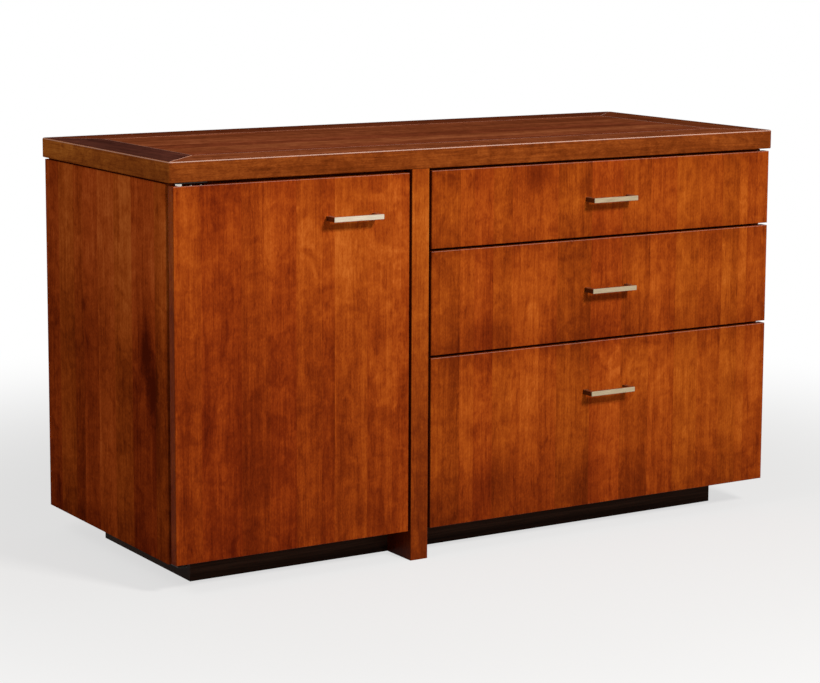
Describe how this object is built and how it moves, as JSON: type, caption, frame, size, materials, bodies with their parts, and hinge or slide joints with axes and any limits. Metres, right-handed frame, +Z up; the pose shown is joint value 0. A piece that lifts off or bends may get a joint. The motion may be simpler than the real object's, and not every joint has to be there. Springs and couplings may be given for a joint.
{
  "type": "credenza",
  "caption": "Office credenza with a pivot-hung door, a stack of drawers on full-extension slides, a mitred wood top and a set-back plinth.",
  "frame": {"origin": "on the floor, under the middle of the whole piece with its pulls", "axes": "+X to the right as one faces the front, +Y to the back, +Z up"},
  "size_m": [1.372, 0.589, 0.787],
  "materials": {
    "lacquered_front_wood": "satin lacquer over cherry stain",
    "lacquered_top_wood": "satin lacquer over cherry stain",
    "black_stained_wood": "black stain, matt",
    "brushed_nickel": "brushed nickel",
    "zinc_plated_steel": "bright zinc plating",
    "nickel_plated_steel": "satin nickel plating",
    "blackened_steel": "oil blackened",
    "brown_plastic": "moulded",
    "pale_maple": "clear lacquer",
    "stained_back_board": "stained plywood"
  },
  "bodies": {
    "case": {"top_center_panel": "lacquered_top_wood", "top_frame_front": "lacquered_top_wood", "top_frame_right": "lacquered_top_wood", "top_frame_back": "lacquered_top_wood", "top_frame_left": "lacquered_top_wood", "left_side_panel": "lacquered_front_wood", "door_bay_inner_side": "lacquered_front_wood", "drawer_bay_inner_side": "lacquered_front_wood", "right_side_panel": "lacquered_front_wood", "door_bay_bottom": "lacquered_front_wood", "door_bay_back": "stained_back_board", "drawer_bay_bottom": "lacquered_front_wood", "drawer_bay_back": "stained_back_board", "top_fixing_rails": "lacquered_front_wood", "center_stile": "lacquered_front_wood", "plinth_front": "black_stained_wood", "plinth_back": "black_stained_wood", "plinth_left": "black_stained_wood", "plinth_right": "black_stained_wood", "plinth_corner_blocks": "pale_maple", "adjustable_shelf": "lacquered_front_wood", "shelf_pins": "nickel_plated_steel", "top_pivot_plate": "blackened_steel", "bottom_pivot_bracket": "blackened_steel", "magnetic_catch": "brown_plastic", "slide_cabinet_members": "zinc_plated_steel"},
    "door": {"door_top_pivot_leaf": "nickel_plated_steel", "door_bottom_pivot_leaf": "blackened_steel", "door_panel": "lacquered_front_wood", "door_pull": "brushed_nickel", "door_catch_strike": "nickel_plated_steel"},
    "top_drawer": {"top_drawer_front": "lacquered_front_wood", "top_drawer_pull": "brushed_nickel", "top_drawer_box_front": "pale_maple", "top_drawer_box_back": "pale_maple", "top_drawer_box_left": "pale_maple", "top_drawer_box_right": "pale_maple", "top_drawer_box_bottom": "pale_maple", "top_drawer_slide_drawer_members": "zinc_plated_steel"},
    "top_drawer_slide_middle": {"top_drawer_slide_middle_members": "zinc_plated_steel"},
    "middle_drawer": {"middle_drawer_front": "lacquered_front_wood", "middle_drawer_pull": "brushed_nickel", "middle_drawer_box_front": "pale_maple", "middle_drawer_box_back": "pale_maple", "middle_drawer_box_left": "pale_maple", "middle_drawer_box_right": "pale_maple", "middle_drawer_box_bottom": "pale_maple", "middle_drawer_slide_drawer_members": "zinc_plated_steel"},
    "middle_drawer_slide_middle": {"middle_drawer_slide_middle_members": "zinc_plated_steel"},
    "bottom_drawer": {"bottom_drawer_front": "lacquered_front_wood", "bottom_drawer_pull": "brushed_nickel", "bottom_drawer_box_front": "pale_maple", "bottom_drawer_box_back": "pale_maple", "bottom_drawer_box_left": "pale_maple", "bottom_drawer_box_right": "pale_maple", "bottom_drawer_box_bottom": "pale_maple", "bottom_drawer_slide_drawer_members": "zinc_plated_steel", "bottom_drawer_file_rails": "zinc_plated_steel"},
    "bottom_drawer_slide_middle": {"bottom_drawer_slide_middle_members": "zinc_plated_steel"}
  },
  "joints": [
    {"name": "door_hinge", "type": "hinge", "parent": "case", "child": "door", "pos_m": [-0.6635, -0.2565, 0.4003], "axis": [0, 0, -1], "range_deg": [0, 110]},
    {"name": "top_drawer_run", "type": "slide", "parent": "case", "child": "top_drawer", "axis": [0, -1, 0], "range_m": [0, 0.45]},
    {"name": "top_drawer_middle_run", "type": "slide", "parent": "case", "child": "top_drawer_slide_middle", "axis": [0, -1, 0], "range_m": [0, 0.225]},
    {"name": "middle_drawer_run", "type": "slide", "parent": "case", "child": "middle_drawer", "axis": [0, -1, 0], "range_m": [0, 0.45]},
    {"name": "middle_drawer_middle_run", "type": "slide", "parent": "case", "child": "middle_drawer_slide_middle", "axis": [0, -1, 0], "range_m": [0, 0.225]},
    {"name": "bottom_drawer_run", "type": "slide", "parent": "case", "child": "bottom_drawer", "axis": [0, -1, 0], "range_m": [0, 0.45]},
    {"name": "bottom_drawer_middle_run", "type": "slide", "parent": "case", "child": "bottom_drawer_slide_middle", "axis": [0, -1, 0], "range_m": [0, 0.225]}
  ],
  "couplings": [
    {"joint": "top_drawer_middle_run", "follows": "top_drawer_run", "ratio": 0.5},
    {"joint": "middle_drawer_middle_run", "follows": "middle_drawer_run", "ratio": 0.5},
    {"joint": "bottom_drawer_middle_run", "follows": "bottom_drawer_run", "ratio": 0.5}
  ]
}
